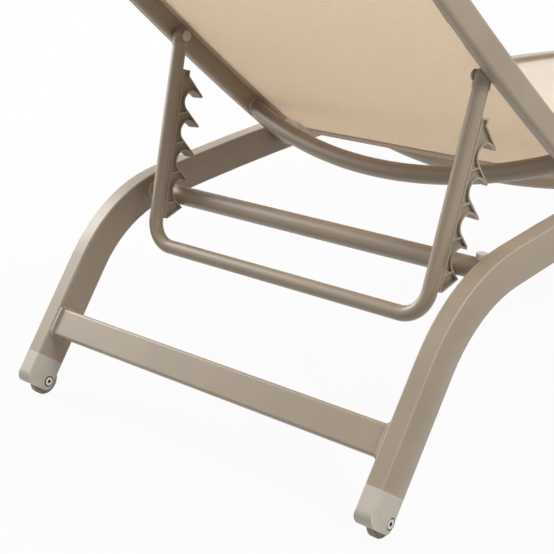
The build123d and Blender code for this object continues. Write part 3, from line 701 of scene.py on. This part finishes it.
@dataclass
class Sling:
    """A woven sling with side bands in the rails' grooves, hems and stitching.

    It runs from begin to end along its arc, its middle line rise above the arc. A sling
    with a tail is narrower up to tail_end and widens over tail_blend before it.
    """

    name: str
    body: Body
    arc: Arc
    begin: float
    end: float
    rise: float
    half_width: float
    band_outer: float
    replaces: tuple[str, ...]
    bands: tuple[str, str]
    rests_on: tuple[str, ...]
    tail_half: float = 0.0
    tail_end: float = 0.0
    tail_blend: float = 12.0 * MM
    sag: float = 2.2 * MM
    end_sag: float = 0.35
    sag_growth: float = 6.0
    ripple: float = 0.35 * MM
    ripple_length: float = 23.0 * MM
    ripple_slant: float = 3.0
    ripple_decay: float = 5.0
    thickness: float = 1.2 * MM
    band_width: float = 14.0 * MM
    band_thickness: float = 2.4 * MM
    bead_height: float = 3.5 * MM
    hem_length: float = 20.0 * MM
    hem_thickness: float = 2.6 * MM
    hem_past_end: float = 0.8 * MM
    hem_past_side: float = 0.4 * MM
    end_inset: float = 2.0 * MM
    stitch_length: float = 4.4 * MM
    stitch_pitch: float = 7.0 * MM
    stitch_radius: float = 0.62 * MM
    stitch_sink: float = 0.05 * MM
    stitch_end_gap: float = 24.0 * MM
    stitch_side_gap: float = 4.0 * MM
    band_row: float = 2.6 * MM
    hem_row: float = 0.82
    rows: int = 150
    columns: int = 90
    band_rows: int = 120
    hem_rows: int = 80

    def half_at(self, s: np.ndarray) -> np.ndarray:
        """Half width at a length: the tail's below its end, then a short slant to full width.

        Args:
            s: Lengths along the arc.

        Returns:
            Half widths. The slant is a smooth step, three times the square of the share of
            the way less twice its cube.
        """
        if not self.tail_half:
            return np.full_like(s, self.half_width)
        step = np.clip((s - self.tail_end + self.tail_blend) / self.tail_blend, 0, 1)
        return self.tail_half + (self.half_width - self.tail_half) * step * step * (3 - 2 * step)

    def end_half(self, s_edge: float, inwards: float) -> float:
        """Half width just inside an end, where inwards is the sign of s towards the middle."""
        return float(self.half_at(np.array([s_edge + inwards * self.end_inset]))[0])

    def dip(self, s: np.ndarray, y: np.ndarray) -> np.ndarray:
        """Height of the sheet's middle: a shallow trough across, and a few soft ripples.

        The trough is a parabola in y that fades to the share end_sag at both ends. The
        ripples are a sine along s that grows towards the end where s begins.

        Args:
            s: Lengths along the arc.
            y: Distances across.

        Returns:
            Heights over the arc.
        """
        share = y / self.half_width
        length = (s - self.begin) / (self.end - self.begin)
        fade = np.clip(np.minimum(length, 1 - length) * self.sag_growth, 0, 1)
        trough = -self.sag * (1 - share ** 2) * (self.end_sag + (1 - self.end_sag) * fade)
        wave = np.sin(s / self.ripple_length + self.ripple_slant * share)
        ripple = self.ripple * wave * np.exp(-length * self.ripple_decay)
        return self.rise + trough + ripple * (1 - share ** 4)

    def sheet(self) -> bpy.types.Object:
        """The woven sheet: a grid over s and y with a top and a bottom face.

        Returns:
            The sheet's object.
        """
        s = np.linspace(self.begin, self.end, self.rows)
        if self.tail_half:
            s = np.unique(np.concatenate([s, self.tail_end + np.linspace(-self.tail_blend, 0, 7)]))
        share = np.linspace(-1, 1, self.columns)
        y = self.half_at(s)[:, None] * share[None, :]
        middle = self.dip(s[:, None], y)
        top = self.arc.place(s[:, None], y, middle + self.thickness / 2)
        low = self.arc.place(s[:, None], y, middle - self.thickness / 2)
        ring = np.concatenate([top, low[:, ::-1]], axis=1)
        cut = np.stack(np.broadcast_arrays(s[:, None], y), axis=-1)
        cut = np.concatenate([cut, cut[:, ::-1]], axis=1)
        faces = loft_faces(len(s), 2 * self.columns, self.arc.outwards > 0)
        return mesh_object(self.name + "_fabric", ring, faces, "sling_mesh", self.body, cut)

    def strip(self, name: str, s: np.ndarray, y: np.ndarray, n: np.ndarray,
              flip: bool) -> bpy.types.Object:
        """A closed band whose rings are given by three arrays of rings by points.

        Args:
            name: Piece name.
            s: Lengths.
            y: Distances across.
            n: Heights.
            flip: True to turn the faces round.

        Returns:
            The band's object.
        """
        points = self.arc.place(s, y, n)
        cut = np.stack(np.broadcast_arrays(s, y), axis=-1)
        faces = loft_faces(points.shape[0], points.shape[1], flip)
        return mesh_object(name, points, faces, "edge_beading", self.body, cut)

    def side_band(self, side: Side) -> bpy.types.Object:
        """Folded edge with its bead in the groove: a flat strip that swells to a round bead.

        Args:
            side: Side of the lounger.

        Returns:
            The band's object.
        """
        inner = self.band_outer - self.band_width
        across, swell = BEADED_EDGE.ring(side.value * inner, side.value * self.band_width,
                                         self.band_thickness, self.bead_height)
        begin = self.tail_end if self.tail_half else self.begin
        s = np.linspace(begin, self.end, self.band_rows)[:, None]
        y = across[None, :]
        n = self.dip(s, side.value * self.half_width * np.ones_like(y)) + swell[None, :]
        turned = (side is Side.RIGHT) ^ (self.arc.outwards > 0)
        band = self.strip(f"{self.name}_edge_{side.name.lower()}", s, y, n, turned)
        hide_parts(self.bands[0] if side is Side.LEFT else self.bands[1])
        return band

    def end_hem(self, label: str, s_edge: float, inwards: float) -> bpy.types.Object:
        """Folded hem across an end: a flat strip that is round at its outer fold.

        Args:
            label: Word for the end.
            s_edge: Length at which the sheet ends.
            inwards: Sign of s towards the sheet's middle.

        Returns:
            The hem's object.
        """
        along, swell = FLAT_HEM.ring(s_edge - inwards * self.hem_past_end,
                                     inwards * self.hem_length, self.hem_thickness)
        half = self.end_half(s_edge, inwards) + self.hem_past_side
        s, y = np.broadcast_arrays(along[None, :], np.linspace(-half, half, self.hem_rows)[:, None])
        n = self.dip(s, y) + swell[None, :]
        turned = (inwards > 0) ^ (self.arc.outwards > 0)
        return self.strip(f"{self.name}_hem_{label}", s, y, n, not turned)

    def stitch_rows(self) -> list[tuple[np.ndarray, np.ndarray, bool]]:
        """Lines of stitches along both bands and across both hems.

        Returns:
            For each line the lengths and the distances across of its stitches, and True
            where it runs lengthwise.
        """
        rows = []
        begin = self.tail_end if self.tail_half else self.begin
        line = np.arange(begin + self.stitch_end_gap, self.end - self.stitch_end_gap,
                         self.stitch_pitch)
        for side in Side:
            row = self.band_outer - self.band_width + self.band_row
            rows.append((line, np.full_like(line, side.value * row), True))
        for s_edge, inwards in ((self.begin, 1.0), (self.end, -1.0)):
            half = self.end_half(s_edge, inwards) - self.stitch_side_gap
            span = np.arange(-half, half, self.stitch_pitch)
            row = s_edge + inwards * self.hem_row * self.hem_length
            rows.append((np.full_like(span, row), span, False))
        return rows

    def stitches(self) -> bpy.types.Object:
        """Thread on both faces of the bands and hems, one copy of a small spindle each.

        A spindle is a round of SPINDLE_SIDES points whose radius follows SPINDLE_SWELL at
        SPINDLE_ALONG. Each copy is the spindle times the row's direction, the way across
        it and the sheet's upward direction, plus its own place.

        Returns:
            The thread's object.
        """
        rings = len(SPINDLE_ALONG)
        along = np.repeat(np.array(SPINDLE_ALONG), SPINDLE_SIDES) * self.stitch_length
        swell = np.repeat(np.array(SPINDLE_SWELL), SPINDLE_SIDES) * self.stitch_radius
        turn = np.tile(np.arange(SPINDLE_SIDES) * math.tau / SPINDLE_SIDES, rings)
        blocks = []
        for s, y, lengthwise in self.stitch_rows():
            ways, ups = self.arc.along(s), self.arc.up(s)
            sides = np.broadcast_to(np.array([0.0, 1.0, 0.0]), ways.shape)
            run, beside = (ways, sides) if lengthwise else (sides, ways)
            for face in (1.0, -1.0):
                lift = self.dip(s, y) + face * (self.hem_thickness / 2 - self.stitch_sink)
                spots = self.arc.place(s, y, lift)
                copy = (run[:, None, :] * along[None, :, None]
                        + beside[:, None, :] * (swell * np.cos(turn))[None, :, None]
                        + ups[:, None, :] * (swell * np.sin(turn))[None, :, None])
                blocks.append(spots[:, None, :] + copy)
        points = np.concatenate(blocks)
        template = np.array(loft_faces(rings, SPINDLE_SIDES))
        first = np.arange(len(points))[:, None, None] * rings * SPINDLE_SIDES
        faces = (template[None] + first).reshape(-1, 4).tolist()
        piece = mesh_object(self.name + "_stitching", points, faces, "thread", self.body)
        face_outwards(piece)
        return piece

    def build(self) -> None:
        """The flat area is the full rectangle less the two strips that the tail lacks.
        """
        sheet = self.sheet()
        bands = [self.side_band(side) for side in Side]
        low, high = ("lower", "top") if self.tail_half else ("rear", "foot")
        hems = [self.end_hem(low, self.begin, 1.0), self.end_hem(high, self.end, -1.0)]
        thread = self.stitches()
        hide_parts(*self.replaces)
        length = self.end - self.begin
        area = 2 * self.half_width * length
        if self.tail_half:
            lacking = self.half_width - self.tail_half
            area -= 2 * lacking * (self.tail_end - self.tail_blend / 2 - self.begin)


@dataclass
class PinCover:
    """Domed cover over a pin's head, on the inner side of its arm or rail."""

    name: str
    body: Body
    x: float
    z: float
    face_y: float
    radius: float
    height: float
    finish: str
    depth: float = 1.5 * MM
    blunt: float = 0.72
    rings: int = 12
    sectors: int = 48

    def build(self) -> None:
        """Makes the cover on both sides.

        The dome is a surface of revolution about y: its radius is the cover's times the
        sine of an angle, and its height the cover's times the cosine, both to the power
        blunt so that the rim stands steep and the crown is flat. The last ring runs
        straight down into the arm by depth, and one face closes it.
        """
        angle = np.linspace(0, math.pi / 2, self.rings)[:, None]
        turn = np.linspace(0, math.tau, self.sectors, endpoint=False)[None, :]
        radius = self.radius * np.sin(angle) ** self.blunt
        rise = self.height * np.cos(angle) ** self.blunt
        radius = np.concatenate([radius, radius[-1:]])
        rise = np.concatenate([rise, [[-self.depth]]])
        rows = len(radius)
        faces = wall_faces(rows, self.sectors).tolist()
        faces.append(list(range((rows - 1) * self.sectors, rows * self.sectors)))
        for side in Side:
            points = np.stack(np.broadcast_arrays(self.x + radius * np.cos(turn),
                                                  side.value * (self.face_y - rise),
                                                  self.z + radius * np.sin(turn)), axis=-1)
            piece = mesh_object(f"{self.name}_{side.name.lower()}", points, faces,
                                self.finish, self.body)
            face_outwards(piece, merge=True)


class SolidDresser:
    """Gives each solid that stays in view the finish of its slot, or one of its own."""

    def build(self) -> None:
        """Assigns the materials."""
        for part in frame["record"]["subparts"]:
            piece = frame["nodes"][part["node"]]
            material = Shop.material(OWN_FINISH.get(part["node"], part["material_slot"]))
            if piece.material_slots:
                piece.material_slots[0].material = material
            else:
                piece.data.materials.append(material)
            report(piece)


def hang(data: bpy.types.ID, place: tuple[float, float, float],
         ahead: Vector) -> bpy.types.Object:
    """Puts a lamp or a camera in the scene.

    Args:
        data: Lamp or camera data.
        place: Its place.
        ahead: Direction in which it looks, level across.

    Returns:
        The new object.
    """
    thing = bpy.data.objects.new(data.name, data)
    bpy.context.scene.collection.objects.link(thing)
    thing.location = place
    thing.rotation_mode = "QUATERNION"
    thing.rotation_quaternion = ahead.to_track_quat("-Z", "Y")
    return thing


@dataclass(frozen=True)
class Lamp:
    """Square soft lamp, with its side in metres and its power in watts."""

    name: str
    place: tuple[float, float, float]
    aim: tuple[float, float, float]
    size: float
    power: float

    def build(self) -> None:
        """Hangs the lamp and turns it towards its aim."""
        data = bpy.data.lights.new(self.name, "AREA")
        data.shape = "SQUARE"
        data.size = self.size
        data.energy = self.power
        hang(data, self.place, Vector(self.aim) - Vector(self.place))


LAMPS = (
    Lamp("overhead", (-0.5, 0.1, 3.2), (-0.3, 0.0, 0.2), 2.6, 56.0),
    Lamp("outer_side", (-0.8, -3.0, 2.5), (-0.6, -0.3, 0.3), 1.8, 78.0),
    Lamp("far_side", (-1.2, 3.4, 1.8), (-0.6, 0.3, 0.3), 1.8, 122.0),
)


@dataclass
class Studio:
    """Pale floor, soft lamps and the camera.

    The floor is seen as white by the share floor_seen near the lounger, which leaves its
    shadow, and wholly from plain_to metres away.
    """

    camera_place: tuple[float, float, float] = (-1.96335, -1.2038, 0.7554)
    yaw: float = math.radians(44.1)
    pitch: float = math.radians(-15.3)
    focal_pixels: float = 1400.0
    middle_x: float = 257.4
    middle_y: float = 225.3
    sensor: float = 36.0
    nearest: float = 0.05
    farthest: float = 80.0
    floor_half: float = 14.0
    floor_paint: str = "#C4C3C1"
    floor_seen: float = 0.945
    plain_from: float = 0.9
    plain_to: float = 2.2
    room: str = "#E9EBEE"
    room_strength: float = 0.16

    def camera(self) -> None:
        """Places the camera: it looks along the yaw and pitch, level, with a small shift.

        The shift is the distance of the lens's middle point from the picture's, as a
        share of the picture's side.
        """
        data = bpy.data.cameras.new("camera")
        data.sensor_width = self.sensor
        data.lens = self.focal_pixels / IMAGE_SIDE * self.sensor
        data.shift_x = (IMAGE_SIDE / 2 - self.middle_x) / IMAGE_SIDE
        data.shift_y = (self.middle_y - IMAGE_SIDE / 2) / IMAGE_SIDE
        data.clip_start, data.clip_end = self.nearest, self.farthest
        ahead = Vector((math.cos(self.yaw) * math.cos(self.pitch),
                        math.sin(self.yaw) * math.cos(self.pitch), math.sin(self.pitch)))
        bpy.context.scene.camera = hang(data, self.camera_place, ahead)

    def seen(self, tree: bpy.types.NodeTree) -> bpy.types.NodeSocket:
        """Tells the rays that see the background from those that light the object.

        Args:
            tree: Node tree.

        Returns:
            1 for rays from the camera, a gloss or through glass, else 0.
        """
        ray = add(tree, "LightPath")
        first = add(tree, "Math", {0: ray.outputs["Is Camera Ray"],
                                   1: ray.outputs["Is Glossy Ray"]}, operation="MAXIMUM")
        both = add(tree, "Math", {0: first.outputs[0], 1: ray.outputs["Is Transmission Ray"]},
                   operation="MAXIMUM")
        return both.outputs[0]

    def floor(self) -> None:
        """Pale floor: seen from the camera or in a gloss it is mostly plain white."""
        half = self.floor_half
        mesh = bpy.data.meshes.new("floor")
        mesh.from_pydata([(-half, -half, 0), (half, -half, 0), (half, half, 0), (-half, half, 0)],
                         [], [(0, 1, 2, 3)])
        floor = bpy.data.objects.new("floor", mesh)
        bpy.context.scene.collection.objects.link(floor)
        material = bpy.data.materials.new("pale_floor")
        material.use_nodes = True
        tree = material.node_tree
        tree.nodes.clear()
        paint = add(tree, "BsdfDiffuse", {"Color": linear(self.floor_paint)})
        white = add(tree, "Emission", {"Color": (1, 1, 1, 1), "Strength": 1.0})
        away = add(tree, "VectorMath", {0: add(tree, "TexCoord").outputs["Object"]},
                   operation="LENGTH")
        plain = add(tree, "MapRange", {0: away.outputs[1], 1: self.plain_from, 2: self.plain_to,
                                       3: self.floor_seen, 4: 1.0}, interpolation_type="SMOOTHSTEP")
        share = add(tree, "Math", {0: self.seen(tree), 1: plain.outputs[0]}, operation="MULTIPLY")
        mixed = add(tree, "MixShader", {0: share.outputs[0], 1: paint.outputs[0],
                                        2: white.outputs[0]})
        add(tree, "OutputMaterial", {"Surface": mixed.outputs[0]})
        mesh.materials.append(material)

    def world(self) -> None:
        """Soft even room light, and plain white where the camera sees past the floor."""
        world = bpy.data.worlds.new("room")
        world.use_nodes = True
        tree = world.node_tree
        tree.nodes.clear()
        room = add(tree, "Background", {"Color": linear(self.room),
                                        "Strength": self.room_strength})
        white = add(tree, "Background", {"Color": (1, 1, 1, 1), "Strength": 1.0})
        mixed = add(tree, "MixShader", {0: self.seen(tree), 1: room.outputs[0],
                                        2: white.outputs[0]})
        add(tree, "OutputWorld", {"Surface": mixed.outputs[0]})
        bpy.context.scene.world = world

    def build(self) -> None:
        """Sets the stage."""
        self.floor()
        self.world()
        for lamp in LAMPS:
            lamp.build()
        self.camera()
        bpy.context.scene.view_settings.view_transform = "Standard"


def main() -> None:
    """Builds the pieces in order."""
    logging.basicConfig(level=logging.INFO, format="%(name)s: %(message)s")
    SolidDresser().build()
    Sling(
        name="seat", body=Body.FRAME, arc=SEAT_ARC, begin=-456.85 * MM, end=380.4 * MM,
        rise=14.2 * MM, half_width=284.5 * MM, band_outer=299.3 * MM,
        replaces=("seat_sling",), bands=("seat_beading_left", "seat_beading_right"),
        rests_on=("side_frame_left", "side_frame_right"),
    ).build()
    Sling(
        name="backrest", body=Body.BACKREST, arc=BACK_ARC, begin=-8.0 * MM, end=687.5 * MM,
        rise=9.95 * MM, half_width=260.5 * MM, band_outer=275.3 * MM,
        replaces=("backrest_sling",), bands=("backrest_beading_left", "backrest_beading_right"),
        rests_on=("backrest_rail_left", "backrest_rail_right"),
        tail_half=243.0 * MM, tail_end=34.0 * MM,
    ).build()
    PinCover("pivot_knob", Body.BACKREST, x=PIVOT_X, z=PIVOT_Z, face_y=247.0 * MM,
             radius=6.2 * MM, height=1.1 * MM, finish="knob_plastic").build()
    Studio().build()


if __name__ == "__main__":
    main()
